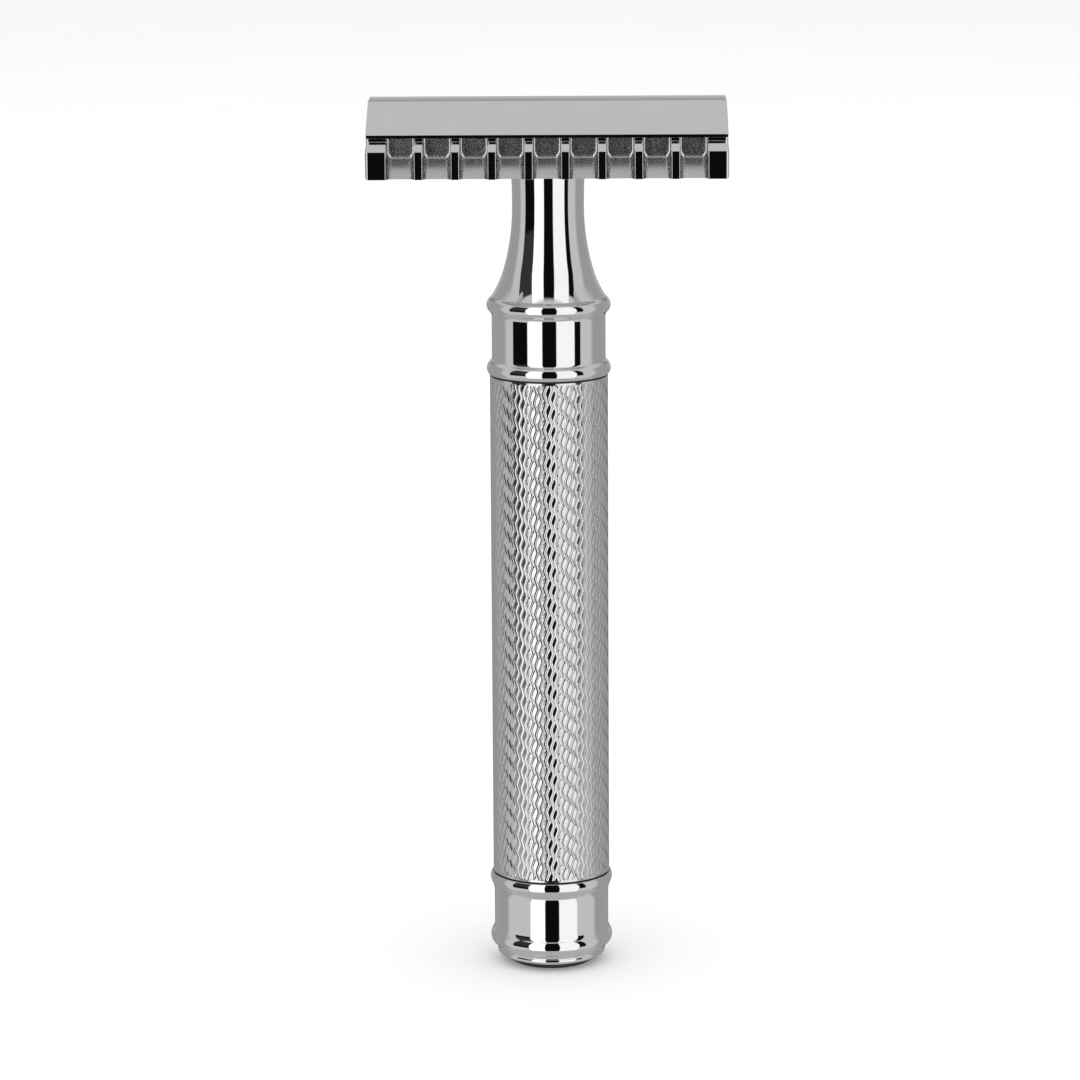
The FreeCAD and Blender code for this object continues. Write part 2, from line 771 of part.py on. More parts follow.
def write(parts):
    os.makedirs("parts", exist_ok=True)
    for part in parts:
        part.Shape.exportStep(f"parts/{part.Label}.step")


def main():
    parts = build()
    check(parts)
    write(parts)


main()
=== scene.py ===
import math

import bpy
from mathutils import Matrix, Vector


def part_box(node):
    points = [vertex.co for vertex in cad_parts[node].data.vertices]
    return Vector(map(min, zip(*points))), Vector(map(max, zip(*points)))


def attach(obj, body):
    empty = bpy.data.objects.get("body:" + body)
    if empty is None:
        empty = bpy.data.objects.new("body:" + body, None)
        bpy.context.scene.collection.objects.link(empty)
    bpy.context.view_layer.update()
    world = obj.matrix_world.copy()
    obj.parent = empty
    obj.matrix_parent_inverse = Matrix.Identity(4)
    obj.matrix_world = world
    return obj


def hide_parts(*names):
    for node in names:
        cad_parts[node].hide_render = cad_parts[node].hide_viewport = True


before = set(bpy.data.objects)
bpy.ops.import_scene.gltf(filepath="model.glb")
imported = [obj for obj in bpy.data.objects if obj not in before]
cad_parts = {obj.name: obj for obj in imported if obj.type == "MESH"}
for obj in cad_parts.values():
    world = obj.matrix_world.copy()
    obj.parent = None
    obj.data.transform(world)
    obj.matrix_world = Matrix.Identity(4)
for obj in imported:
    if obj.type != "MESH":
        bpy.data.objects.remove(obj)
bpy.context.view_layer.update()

SCENE = bpy.context.scene

# Pieces are modelled in millimetres and shrunk to metres when they are finished.
MM = 0.001


def node_box(node):
    """A frame node's lowest and highest corners in millimetres."""
    low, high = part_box(node)
    return low / MM, high / MM


# ------------------------------------------------------------------ sizes from the frame

BUTTON_HIGH = node_box("end_button")[1]
KNOB_LOW, KNOB_HIGH = node_box("end_knob")
LOWER_SEAL_LOW = node_box("lower_seal_ring")[0]
GRIP_LOW, GRIP_HIGH = node_box("grip_sleeve")
UPPER_SEAL_HIGH = node_box("upper_seal_ring")[1]
NECK_LOW, NECK_HIGH = node_box("neck")
INSERT_LOW, INSERT_HIGH = node_box("neck_insert")
COMB_LOW, COMB_HIGH = node_box("comb_plate")
CAP_LOW, CAP_HIGH = node_box("top_cap")
STUD_LOW, STUD_HIGH = node_box("clamp_stud")
PIN_LOW, PIN_HIGH = node_box("guide_pin_right")

GRIP_RADIUS = GRIP_HIGH.x
KNOB_BOTTOM = KNOB_LOW.z
KNOB_TOP = LOWER_SEAL_LOW.z
COLLAR_BOTTOM = UPPER_SEAL_HIGH.z
NECK_TOP = NECK_HIGH.z
COMB_BOTTOM = COMB_LOW.z
BED_TOP = COMB_HIGH.z
RIM_Y = CAP_HIGH.y
COMB_FRONT = COMB_HIGH.y
HEAD_LENGTH = CAP_HIGH.x - CAP_LOW.x

# ------------------------------------------------------------------ camera

LENS = 142.6
CAMERA_DISTANCE = 0.4927
CAMERA_HEIGHT = 0.14937
CAMERA_ASIDE = -0.00114
CAMERA_PITCH = math.radians(11.30)
CAMERA_ROLL = math.radians(-0.32)
CAMERA_TURN = math.radians(0.6)


def place_camera():
    bpy.ops.object.camera_add()
    camera = bpy.context.object
    camera.name = "studio_camera"
    camera.data.lens = LENS
    camera.data.sensor_width = 36.0
    turn = Matrix.Rotation(CAMERA_TURN, 4, "Z")
    place = Matrix.Translation((CAMERA_ASIDE, -CAMERA_DISTANCE, CAMERA_HEIGHT))
    tilt = Matrix.Rotation(math.pi / 2 - CAMERA_PITCH, 4, "X")
    roll = Matrix.Rotation(CAMERA_ROLL, 4, "Z")
    camera.matrix_world = turn @ place @ tilt @ roll
    camera.data.clip_start = 0.01
    camera.data.clip_end = 20.0
    SCENE.camera = camera


# ------------------------------------------------------------------ shader maths

class Wire:
    """A shader socket that arithmetic can be written on."""

    def __init__(self, tree, socket):
        self.tree = tree
        self.socket = socket

    def math(self, operation, *others):
        return self.tree.add("ShaderNodeMath", {"operation": operation}, [self, *others])

    def __add__(self, other):
        return self.math("ADD", other)

    def __sub__(self, other):
        return self.math("SUBTRACT", other)

    def __rsub__(self, other):
        return self.tree.add("ShaderNodeMath", {"operation": "SUBTRACT"}, [other, self])

    def __mul__(self, other):
        return self.math("MULTIPLY", other)

    def __neg__(self):
        return self.math("MULTIPLY", -1.0)

    __radd__ = __add__
    __rmul__ = __mul__


class Tree:
    """Adds nodes to a material's or a world's node tree."""

    def __init__(self, owner):
        owner.use_nodes = True
        self.nodes = owner.node_tree.nodes
        self.links = owner.node_tree.links

    def feed(self, socket, value):
        if isinstance(value, Wire):
            self.links.new(value.socket, socket)
        else:
            socket.default_value = value

    def add(self, kind, settings=None, inputs=(), output=0):
        """Add a node: its settings first, then values or wires by socket number or name."""
        node = self.nodes.new(kind)
        for name, value in (settings or {}).items():
            setattr(node, name, value)
        pairs = inputs.items() if isinstance(inputs, dict) else enumerate(inputs)
        for key, value in pairs:
            self.feed(node.inputs[key], value)
        return Wire(self, node.outputs[output])

    def ease(self, value, low, high, first=0.0, last=1.0):
        """Run smoothly from first to last while value goes from low to high."""
        settings = {"interpolation_type": "SMOOTHSTEP"}
        return self.add("ShaderNodeMapRange", settings, [value, low, high, first, last])

    def blend(self, factor, first, second):
        """Mix two colours."""
        inputs = {"Factor": factor, 6: first, 7: second}
        return self.add("ShaderNodeMix", {"data_type": "RGBA"}, inputs, 2)


def grey(level):
    return (level, level, level, 1.0)


# ------------------------------------------------------------------ finishes

def noise(tree, place, scale, detail=2.0):
    inputs = {"Vector": place, "Scale": scale, "Detail": detail}
    return tree.add("ShaderNodeTexNoise", {}, inputs)


def stretched(tree, scale):
    """Object coordinates with each axis drawn out or squeezed."""
    place = tree.add("ShaderNodeTexCoord", {}, (), 3)
    return tree.add("ShaderNodeMapping", {}, {"Vector": place, "Scale": scale})


def metal(name, light, dark, rough, rough_spread, marks, mark_height):
    """Polished or satin metal with faint clouding and fine marks drawn out along one way."""
    material = bpy.data.materials.new(name)
    tree = Tree(material)
    shader = tree.nodes["Principled BSDF"]
    place = tree.add("ShaderNodeTexCoord", {}, (), 3)
    cloud = noise(tree, place, 160.0, 4.0)
    fine = noise(tree, stretched(tree, marks), 1.0, 3.0)
    tree.feed(shader.inputs["Base Color"], tree.blend(cloud, grey(dark), grey(light)))
    tree.feed(shader.inputs["Roughness"], tree.ease(fine, 0.3, 0.8, rough, rough + rough_spread))
    shader.inputs["Metallic"].default_value = 1.0
    bump = {"Strength": 0.5, "Distance": mark_height, "Height": fine}
    tree.feed(shader.inputs["Normal"], tree.add("ShaderNodeBump", {}, bump))
    return material


# Near-black rubber for the seal rings at the handle's seams: the rings are real pieces, but their dark
# colour is partly painted shade standing in for the shadow in those seams.
def seal_rubber():
    material = bpy.data.materials.new("seal_rubber")
    tree = Tree(material)
    shader = tree.nodes["Principled BSDF"]
    place = tree.add("ShaderNodeTexCoord", {}, (), 3)
    grain = noise(tree, place, 9000.0, 3.0)
    tree.feed(shader.inputs["Base Color"], tree.blend(grain, grey(0.012), grey(0.03)))
    tree.feed(shader.inputs["Roughness"], tree.ease(grain, 0.2, 0.8, 0.45, 0.65))
    bump = {"Strength": 0.4, "Distance": 0.00001, "Height": grain}
    tree.feed(shader.inputs["Normal"], tree.add("ShaderNodeBump", {}, bump))
    return material


def machined_brass():
    material = bpy.data.materials.new("machined_brass")
    tree = Tree(material)
    shader = tree.nodes["Principled BSDF"]
    lines = noise(tree, stretched(tree, (60.0, 60.0, 9000.0)), 1.0, 3.0)
    light, dark = (0.83, 0.66, 0.34, 1.0), (0.66, 0.48, 0.2, 1.0)
    tree.feed(shader.inputs["Base Color"], tree.blend(lines, dark, light))
    tree.feed(shader.inputs["Roughness"], tree.ease(lines, 0.3, 0.7, 0.2, 0.4))
    shader.inputs["Metallic"].default_value = 1.0
    return material


ROUND_MARKS = (40.0, 40.0, 6000.0)
LONG_MARKS = (60.0, 6000.0, 6000.0)
SPECKLE = (6000.0, 6000.0, 6000.0)

MIRROR_CHROME = metal("mirror_chrome", 0.86, 0.82, 0.025, 0.03, ROUND_MARKS, 0.0000004)
CAP_CHROME = metal("cap_chrome", 0.86, 0.82, 0.03, 0.03, LONG_MARKS, 0.0000004)
SATIN_CHROME = metal("satin_chrome", 0.78, 0.64, 0.22, 0.08, SPECKLE, 0.0000005)
GRIP_CHROME = metal("grip_chrome", 0.8, 0.72, 0.12, 0.06, ROUND_MARKS, 0.0000006)
STUD_CHROME = metal("stud_chrome", 0.74, 0.66, 0.12, 0.08, ROUND_MARKS, 0.000001)
PLAIN_STEEL = metal("plain_steel", 0.6, 0.5, 0.3, 0.15, ROUND_MARKS, 0.000002)
SEAM_SHADE_RUBBER = seal_rubber()
MACHINED_BRASS = machined_brass()


# ------------------------------------------------------------------ outlines

FINE_TURN = math.radians(3.5)


def bow(start, end, radius, side):
    """Points of an arc from start to end, curving to the left or right of its travel."""
    begin, finish = Vector(start), Vector(end)
    chord = finish - begin
    half = chord.length / 2
    hand = 1 if side == "left" else -1
    across = Vector((-chord.y, chord.x)).normalized()
    centre = begin + chord / 2 + across * math.sqrt(radius ** 2 - half ** 2) * hand
    first = math.atan2(begin.y - centre.y, begin.x - centre.x)
    sweep = 2 * math.asin(half / radius) * hand
    steps = max(4, math.ceil(abs(sweep) / FINE_TURN))
    angles = [first + sweep * step / steps for step in range(steps + 1)]
    return [(centre.x + radius * math.cos(a), centre.y + radius * math.sin(a)) for a in angles]


def chain(*steps):
    """An outline through the steps: each is a point, or a point with its arc's radius and side."""
    points = []
    for step in steps:
        if len(step) == 2:
            points.append(step)
        else:
            points += bow(points[-1], step[:2], *step[2:])[1:]
    return points


def bead_foot(crest, crest_height, radius, wall, wall_height):
    """Where a bead's round turns into the fillet that runs out on a wall, and the fillet's radius."""
    offset = wall - crest + radius
    rise = wall_height - crest_height
    fillet = (rise ** 2 + offset ** 2 - radius ** 2) / (2 * (radius - offset))
    share = radius / (radius + fillet)
    return (crest - radius + (offset + fillet) * share, crest_height + rise * share), fillet


def cut_bead(crest, radius, distance):
    """Radius at which a bead is cut off square, at a distance from its crest."""
    return crest - radius + math.sqrt(radius ** 2 - distance ** 2)


# ------------------------------------------------------------------ modelling helpers

def deselect():
    if bpy.context.object and bpy.context.object.mode != "OBJECT":
        bpy.ops.object.mode_set(mode="OBJECT")
    bpy.ops.object.select_all(action="DESELECT")


def pick(piece):
    deselect()
    piece.select_set(True)
    bpy.context.view_layer.objects.active = piece


def edit(piece, kind="VERT"):
    pick(piece)
    bpy.ops.object.mode_set(mode="EDIT")
    bpy.ops.mesh.select_mode(type=kind)


def leave_edit():
    bpy.ops.object.mode_set(mode="OBJECT")


def apply_modifier(piece, kind, **settings):
    pick(piece)
    modifier = piece.modifiers.new(kind.lower(), kind)
    for name, value in settings.items():
        setattr(modifier, name, value)
    bpy.ops.object.modifier_apply(modifier=modifier.name)


def tidy_normals(piece, merge=0.0001):
    edit(piece)
    bpy.ops.mesh.select_all(action="SELECT")
    bpy.ops.mesh.remove_doubles(threshold=merge)
    bpy.ops.mesh.normals_make_consistent(inside=False)
    leave_edit()


def soften(piece, width, segments=3, angle=40.0):
    """Round the sharp edges a little."""
    settings = {"limit_method": "ANGLE", "angle_limit": math.radians(angle)}
    apply_modifier(piece, "BEVEL", width=width, segments=segments, **settings)


def finish_piece(piece, name, body, nodes, material, smooth=32.0):
    """Shade a piece, shrink it to metres and hand it to the frame."""
    pick(piece)
    piece.name = name
    bpy.ops.object.shade_smooth_by_angle(angle=math.radians(smooth))
    apply_modifier(piece, "WEIGHTED_NORMAL", keep_sharp=True, weight=60)
    piece.data.transform(Matrix.Scale(MM, 4))
    if not piece.data.materials:
        piece.data.materials.append(material)
    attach(piece, body)
    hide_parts(*nodes)


def turned(outline, segments=160):
    """Turn an outline of radius and height points about the Z axis.

    An outline that starts or ends on the axis is closed there with a flat disc, and one that
    keeps clear of the axis is a ring that joins up with itself.
    """
    starts_solid = outline[0][0] == 0
    ends_solid = outline[-1][0] == 0
    rings = outline[1:] if starts_solid else outline + outline[:1]
    rings = rings[:-1] if ends_solid else rings
    fill = "NGON" if starts_solid else "NOTHING"
    deselect()
    radius, height = rings[0]
    bpy.ops.mesh.primitive_circle_add(
        vertices=segments, radius=radius, fill_type=fill, location=(0, 0, height)
    )
    piece = bpy.context.object
    bpy.ops.object.transform_apply()
    edit(piece, "EDGE")
    bpy.ops.mesh.select_all(action="SELECT")
    for next_radius, next_height in rings[1:]:
        bpy.ops.mesh.extrude_edges_move(
            TRANSFORM_OT_translate={"value": (0, 0, next_height - height)}
        )
        scale = next_radius / radius
        bpy.ops.transform.resize(value=(scale, scale, 1), center_override=(0, 0, next_height))
        radius, height = next_radius, next_height
    if ends_solid:
        bpy.ops.mesh.edge_face_add()
    leave_edit()
    tidy_normals(piece)
    return piece


def bar(outline, length):
    """Extrude an outline of Y and Z points equally to both sides of the YZ plane."""
    deselect()
    bpy.ops.mesh.primitive_circle_add(vertices=len(outline), radius=1, fill_type="NGON")
    piece = bpy.context.object
    for vertex, (y, z) in zip(piece.data.vertices, outline):
        vertex.co = (-length / 2, y, z)
    edit(piece, "FACE")
    bpy.ops.mesh.select_all(action="SELECT")
    bpy.ops.mesh.extrude_region_move(TRANSFORM_OT_translate={"value": (length, 0, 0)})
    leave_edit()
    tidy_normals(piece)
    return piece


def block(low, high):
    """A box from its lowest to its highest corner."""
    deselect()
    low, high = Vector(low), Vector(high)
    bpy.ops.mesh.primitive_cube_add(size=1, location=(low + high) / 2, scale=high - low)
    bpy.ops.object.transform_apply()
    return bpy.context.object


def drill(x, radius, low, high, segments=64):
    deselect()
    bpy.ops.mesh.primitive_cylinder_add(
        vertices=segments, radius=radius, depth=high - low, location=(x, 0, (low + high) / 2)
    )
    bpy.ops.object.transform_apply()
    return bpy.context.object


def bevel_edges(piece, wanted, width, segments):
    """Round the edges whose two end points both answer to wanted."""
    edit(piece, "EDGE")
    bpy.ops.mesh.select_all(action="DESELECT")
    leave_edit()
    points = piece.data.vertices
    for edge in piece.data.edges:
        first, last = (points[i].co for i in edge.vertices)
        edge.select = wanted(first, last)
    edit(piece, "EDGE")
    bpy.ops.mesh.bevel(offset=width, segments=segments, affect="EDGES")
    leave_edit()


def carve(piece, tool):
    """Cut a tool's volume out of a piece and throw the tool away."""
    apply_modifier(piece, "BOOLEAN", operation="DIFFERENCE", object=tool, solver="EXACT")
    bpy.data.objects.remove(tool)


# ------------------------------------------------------------------ handle

EDGE_ROUND = 0.07
FINE_EDGE_ROUND = 0.04
SPIGOT_RADIUS = GRIP_RADIUS - 1.155


def make_button():
    radius, rim, rim_drop = BUTTON_HIGH.x, 0.42, 0.17
    rim_height = KNOB_BOTTOM - rim_drop
    slope = math.radians(31.4)
    slope_top = (radius - rim + rim * math.sin(slope), rim_height - rim * math.cos(slope))
    base = slope_top[0] - slope_top[1] / math.tan(slope)
    plug = GRIP_RADIUS - 1.905
    piece = turned(chain(
        (0, 0),
        (base, 0),
        slope_top,
        (cut_bead(radius, rim, rim_drop), KNOB_BOTTOM, rim, "left"),
        (plug, KNOB_BOTTOM),
        (plug, BUTTON_HIGH.z),
        (0, BUTTON_HIGH.z),
    ))
    soften(piece, FINE_EDGE_ROUND, 2)
    finish_piece(piece, "base_button", "handle", ["end_button"], MIRROR_CHROME)


def make_knob():
    band, foot = GRIP_RADIUS - 0.115, GRIP_RADIUS - 0.495
    crest, bead = GRIP_RADIUS + 0.33, 1.2
    cavity, cavity_floor = GRIP_RADIUS - 1.875, 6.41
    screw_hole = 2.12
    upper_cut = 0.66
    lower_crest, upper_crest = KNOB_BOTTOM + 1.6, KNOB_TOP - upper_cut
    band_bottom, band_top = KNOB_BOTTOM + 2.91, KNOB_TOP - 2.44
    low_turn, low_fillet = bead_foot(crest, lower_crest, bead, foot, KNOB_BOTTOM)
    middle_turn, middle_fillet = bead_foot(crest, lower_crest, bead, band, band_bottom)
    high_turn, high_fillet = bead_foot(crest, upper_crest, bead, band, band_top)
    piece = turned(chain(
        (cavity, KNOB_BOTTOM),
        (foot, KNOB_BOTTOM),
        (*low_turn, low_fillet, "right"),
        (*middle_turn, bead, "left"),
        (band, band_bottom, middle_fillet, "right"),
        (band, band_top),
        (*high_turn, high_fillet, "right"),
        (cut_bead(crest, bead, upper_cut), KNOB_TOP, bead, "left"),
        (SPIGOT_RADIUS, KNOB_TOP),
        (SPIGOT_RADIUS, KNOB_HIGH.z),
        (screw_hole, KNOB_HIGH.z),
        (screw_hole, cavity_floor),
        (cavity, cavity_floor),
    ))
    soften(piece, EDGE_ROUND, 2)
    finish_piece(piece, "beaded_knob", "handle", ["end_knob"], MIRROR_CHROME)


def make_neck():
    """The neck with its collar: two beads and a band, then the flare up to the waist."""
    band = GRIP_RADIUS - 0.26
    crest, bead = GRIP_RADIUS + 0.335, 1.03
    waist = INSERT_HIGH.x + 0.855
    lower_cut = 0.72
    lower_crest, upper_crest = COLLAR_BOTTOM + lower_cut, COLLAR_BOTTOM + 8.12
    band_bottom, band_top = COLLAR_BOTTOM + 1.97, COLLAR_BOTTOM + 6.8
    low_turn, low_fillet = bead_foot(crest, lower_crest, bead, band, band_bottom)
    high_turn, high_fillet = bead_foot(crest, upper_crest, bead, band, band_top)
    steep, foot_angle, turn_angle = (math.radians(angle) for angle in (56.0, 33.0, 16.5))
    hollow = 0.45
    shoulder = (crest - bead * (1 - math.cos(steep)), upper_crest + bead * math.sin(steep))
    foot = shoulder[0] - hollow * (math.cos(foot_angle) - math.cos(steep))
    foot_height = shoulder[1] + hollow * (math.sin(steep) - math.sin(foot_angle))
    run, lower_share = foot - waist, 0.57
    lower_radius = run * lower_share / (math.cos(turn_angle) - math.cos(foot_angle))
    upper_radius = run * (1 - lower_share) / (1 - math.cos(turn_angle))
    turn_height = foot_height + lower_radius * (math.sin(foot_angle) - math.sin(turn_angle))
    waist_height = turn_height + upper_radius * math.sin(turn_angle)
    throat_flare, throat_rise = 0.14, NECK_TOP - waist_height
    throat_radius = (throat_flare ** 2 + throat_rise ** 2) / (2 * throat_flare)
    insert_bore = INSERT_HIGH.x + 0.03
    screw_hole, screw_hole_top = 2.03, NECK_LOW.z + 10.0
    relief, relief_bottom = 2.55, INSERT_LOW.z - 0.5
    piece = turned(chain(
        (0, screw_hole_top),
        (screw_hole, screw_hole_top),
        (screw_hole, NECK_LOW.z),
        (SPIGOT_RADIUS, NECK_LOW.z),
        (SPIGOT_RADIUS, COLLAR_BOTTOM),
        (cut_bead(crest, bead, lower_cut), COLLAR_BOTTOM),
        (*low_turn, bead, "left"),
        (band, band_bottom, low_fillet, "right"),
        (band, band_top),
        (*high_turn, high_fillet, "right"),
        (*shoulder, bead, "left"),
        (foot, foot_height, hollow, "right"),
        (foot - run * lower_share, turn_height, lower_radius, "right"),
        (waist, waist_height, upper_radius, "right"),
        (waist + throat_flare, NECK_TOP, throat_radius, "right"),
        (insert_bore, NECK_TOP),
        (insert_bore, INSERT_LOW.z),
        (relief, INSERT_LOW.z),
        (relief, relief_bottom),
        (0, relief_bottom),
    ))
    soften(piece, EDGE_ROUND, 2)
    finish_piece(piece, "flared_neck", "handle", ["neck"], MIRROR_CHROME)


# ------------------------------------------------------------------ engraved grip

GROOVES = 72
GROOVE_PERIOD = 2.07
GROOVE_SWAY = 0.17
GROOVE_DEPTH = 0.07
GROOVE_PLACES = (0.0, 0.2, 0.35, 0.5, 0.65, 0.8)
GROOVE_SHAPE = (0.0, 0.0, 0.45, 1.0, 0.45, 0.0)
GROOVE_COLUMNS = len(GROOVE_PLACES)
GROOVE_STEP = 4
ZIGZAG_SHARPNESS = 0.93
ROWS_PER_PERIOD = 8
CLOSE_ROWS = (0.0, 0.03, 0.09, 0.18, 0.3)
LOWER_LAND = 0.2
UPPER_LAND = 0.22


def groove_point(column, height):
    """Where a column of the engraving stands: its angle and its radius.

    Each groove runs one part of a wave's period ahead of its neighbour, and fades out to a
    rounded end where the plain lands begin.
    """
    groove, place = divmod(column, GROOVE_COLUMNS)
    across, depth = GROOVE_PLACES[place], GROOVE_SHAPE[place]
    pitch = 2 * math.pi * GRIP_RADIUS / GROOVES
    wave = 2 * math.pi * (height / GROOVE_PERIOD + groove / GROOVE_STEP)
    from_end = min(height - GRIP_LOW.z - LOWER_LAND, GRIP_HIGH.z - UPPER_LAND - height)
    run_in = max(0.0, min(1.0, from_end / (pitch * 0.45)))
    taper = math.sqrt(1 - (1 - run_in) ** 2)
    shrink = 1 - (1 - taper) * 0.5
    angle = (groove + 0.5 + (across - 0.5) * (shrink if depth else 1)) / GROOVES * 2 * math.pi
    zigzag = math.asin(ZIGZAG_SHARPNESS * math.sin(wave)) / math.asin(ZIGZAG_SHARPNESS)
    angle += GROOVE_SWAY * zigzag / GRIP_RADIUS
    return angle, GRIP_RADIUS - GROOVE_DEPTH * depth * taper


def grip_rows():
    """Heights of the mesh rows: the engraved length evenly, with close rows at its two ends."""
    low = GRIP_LOW.z + LOWER_LAND
    high = GRIP_HIGH.z - UPPER_LAND
    first, last = low + CLOSE_ROWS[-1], high - CLOSE_ROWS[-1]
    count = round((last - first) / GROOVE_PERIOD * ROWS_PER_PERIOD)
    start = [low + rise for rise in CLOSE_ROWS]
    middle = [first + (last - first) * row / count for row in range(1, count)]
    finish = [high - drop for drop in reversed(CLOSE_ROWS)]
    return [GRIP_LOW.z, *start, *middle, *finish, GRIP_HIGH.z]


def make_grip():
    rows = grip_rows()
    columns = GROOVES * GROOVE_COLUMNS
    deselect()
    bpy.ops.mesh.primitive_circle_add(vertices=columns, radius=GRIP_RADIUS, fill_type="NOTHING")
    piece = bpy.context.object
    edit(piece, "EDGE")
    bpy.ops.mesh.select_all(action="SELECT")
    for _ in rows[1:]:
        bpy.ops.mesh.extrude_edges_move(TRANSFORM_OT_translate={"value": (0, 0, 1)})
    leave_edit()
    points = piece.data.vertices
    for index, vertex in enumerate(points):
        row, column = divmod(index, columns)
        angle, radius = groove_point(column, rows[row])
        vertex.co = (radius * math.cos(angle), radius * math.sin(angle), rows[row])
    close_sleeve(piece)
    nodes = ["grip_sleeve"]
    finish_piece(piece, "engraved_grip", "handle", nodes, GRIP_CHROME, 60.0)


def close_sleeve(piece):
    """Give the open engraved skin its end faces and its bore."""
    bore = GRIP_RADIUS - 1.125
    edit(piece, "EDGE")
    bpy.ops.mesh.select_all(action="DESELECT")
    bpy.ops.mesh.select_non_manifold(extend=False)
    bpy.ops.mesh.extrude_edges_move(TRANSFORM_OT_translate={"value": (0, 0, 0)})
    scale = bore / GRIP_RADIUS
    bpy.ops.transform.resize(value=(scale, scale, 1), center_override=(0, 0, 0))
    bpy.ops.mesh.bridge_edge_loops()
    leave_edit()
    tidy_normals(piece)


# ------------------------------------------------------------------ head

BLADE_ANGLE = math.radians(30)
BEND_RADIUS = 9.0
BLADE_GAP = 0.1
RIM_RAMP = 0.8
RIM_HEIGHT = 0.4
CROWN_RISE = 0.09
CROWN_HALF = 3.0
FLANK_RADIUS = 55.0
CAP_UNDERSIDE = BED_TOP + BLADE_GAP
BEND_Y = RIM_Y - RIM_RAMP - BEND_RADIUS * math.sin(BLADE_ANGLE)
BEND_Z = CAP_UNDERSIDE - BEND_RADIUS
BED_EDGE = RIM_Y - 0.6
SLOPE = math.tan(BLADE_ANGLE)
PIN_X = (PIN_LOW.x + PIN_HIGH.x) / 2


def both_sides(half):
    """A half outline at positive Y joined to its mirror image."""
    return half + [(-y, z) for y, z in reversed(half) if y != 0]


def bend_end(radius):
    return BEND_Y + radius * math.sin(BLADE_ANGLE), BEND_Z + radius * math.cos(BLADE_ANGLE)


def make_cap():
    end = bend_end(BEND_RADIUS)
    rim_low = end[1] - RIM_RAMP * SLOPE
    crown = CAP_HIGH.z - CROWN_RISE
    under = bow((BEND_Y, CAP_UNDERSIDE), end, BEND_RADIUS, "right")
    flank = bow((RIM_Y, rim_low + RIM_HEIGHT), (CROWN_HALF, crown), FLANK_RADIUS, "left")
    crown_radius = (CROWN_HALF ** 2 + CROWN_RISE ** 2) / (2 * CROWN_RISE)
    top = bow((CROWN_HALF, crown), (-CROWN_HALF, crown), crown_radius, "left")
    half = [*under, (RIM_Y, rim_low), *flank]
    outline = half + top[1:-1] + [(-y, z) for y, z in reversed(half)]
    piece = bar(outline, HEAD_LENGTH)
    carve(piece, drill(0, STUD_HIGH.x + 0.03, CAP_UNDERSIDE - 1, STUD_HIGH.z))
    for side in (-1, 1):
        carve(piece, drill(PIN_X * side, 1.45, CAP_UNDERSIDE - 1, PIN_HIGH.z))
    soften(piece, 0.05, 3, 30.0)
    finish_piece(piece, "crowned_cap", "cap", ["top_cap"], CAP_CHROME, 12.0)


TOOTH = 0.95
TOOTH_FACE = 1.26
CREST_LIFT = 0.1
GUTTER_WIDTH = 1.05
GUTTER_DEPTH = 1.0
GAP = 3.2
GAP_COUNT = 9
GAP_WALL = BED_EDGE - 0.6
GAP_WALL_HEIGHT = 2.23
GAP_FLOOR_RUN = 2.5
SCOOP_RADIUS = 0.62
WALL_FILLET = 0.26
NOSE_RADIUS = 0.4
NOSE_TURN = math.pi / 2 - BLADE_ANGLE
CORE_INNER = 6.6
CORE_CORNER = 1.5
SEAT_RADIUS = 4.345


def comb_outline():
    radius = BEND_RADIUS - BLADE_GAP
    end = bend_end(radius)
    crest_y = COMB_FRONT - TOOTH_FACE
    crest_z = end[1] - (crest_y - end[0]) * SLOPE + CREST_LIFT
    gutter_z = crest_z - GUTTER_DEPTH
    face_top = crest_z - TOOTH_FACE * SLOPE
    setback = NOSE_RADIUS * math.tan(NOSE_TURN / 2)
    nose_y = COMB_FRONT - setback * math.cos(BLADE_ANGLE)
    nose_z = face_top + setback * math.sin(BLADE_ANGLE)
    half = chain(
        (COMB_FRONT, COMB_BOTTOM),
        (COMB_FRONT, face_top - setback),
        (nose_y, nose_z, NOSE_RADIUS, "left"),
        (crest_y, crest_z),
        (BED_EDGE + GUTTER_WIDTH, gutter_z),
        (BED_EDGE, gutter_z),
        (BED_EDGE, end[1] - (BED_EDGE - end[0]) * SLOPE),
        end,
        (BEND_Y, BED_TOP, radius, "left"),
    )
    return both_sides(half)


def gap_tool(x, side):
    """A rounded scoop that opens one gap between two teeth."""
    wall_z = COMB_BOTTOM + GAP_WALL_HEIGHT
    reach = COMB_FRONT + 2
    outline = [(GAP_WALL, BED_TOP + 3), (GAP_WALL, wall_z)]
    outline += [(reach, wall_z - (reach - GAP_WALL) * GAP_WALL_HEIGHT / GAP_FLOOR_RUN)]
    outline += [(reach, BED_TOP + 3)]
    tool = bar([(y * side, z) for y, z in outline], GAP)

    def on_wall(point):
        return abs(abs(point.y) - GAP_WALL) < 0.01

    def floor_side(first, last):
        low = max(first.z, last.z) < wall_z + 0.01
        return low and abs(first.x - last.x) < 0.01 and abs(first.y - last.y) > 0.5

    def wall_rim(first, last):
        return on_wall(first) and on_wall(last) and min(first.z, last.z) < BED_TOP + 2

    bevel_edges(tool, floor_side, SCOOP_RADIUS, 6)
    bevel_edges(tool, wall_rim, WALL_FILLET, 4)
    tool.data.transform(Matrix.Translation((x, 0, 0)))
    return tool


def core_tool(side):
    """The rounded hollow under one half of the plate."""
    outer = HEAD_LENGTH / 2 - 2.4
    half = BED_EDGE - 2.2
    xs = sorted((CORE_INNER * side, outer * side))
    tool = block((xs[0], -half, COMB_BOTTOM - 2), (xs[1], half, BED_TOP - 3.0))

    def upright(first, last):
        return abs(first.x - last.x) < 0.01 and abs(first.y - last.y) < 0.01

    bevel_edges(tool, upright, CORE_CORNER, 8)
    return tool


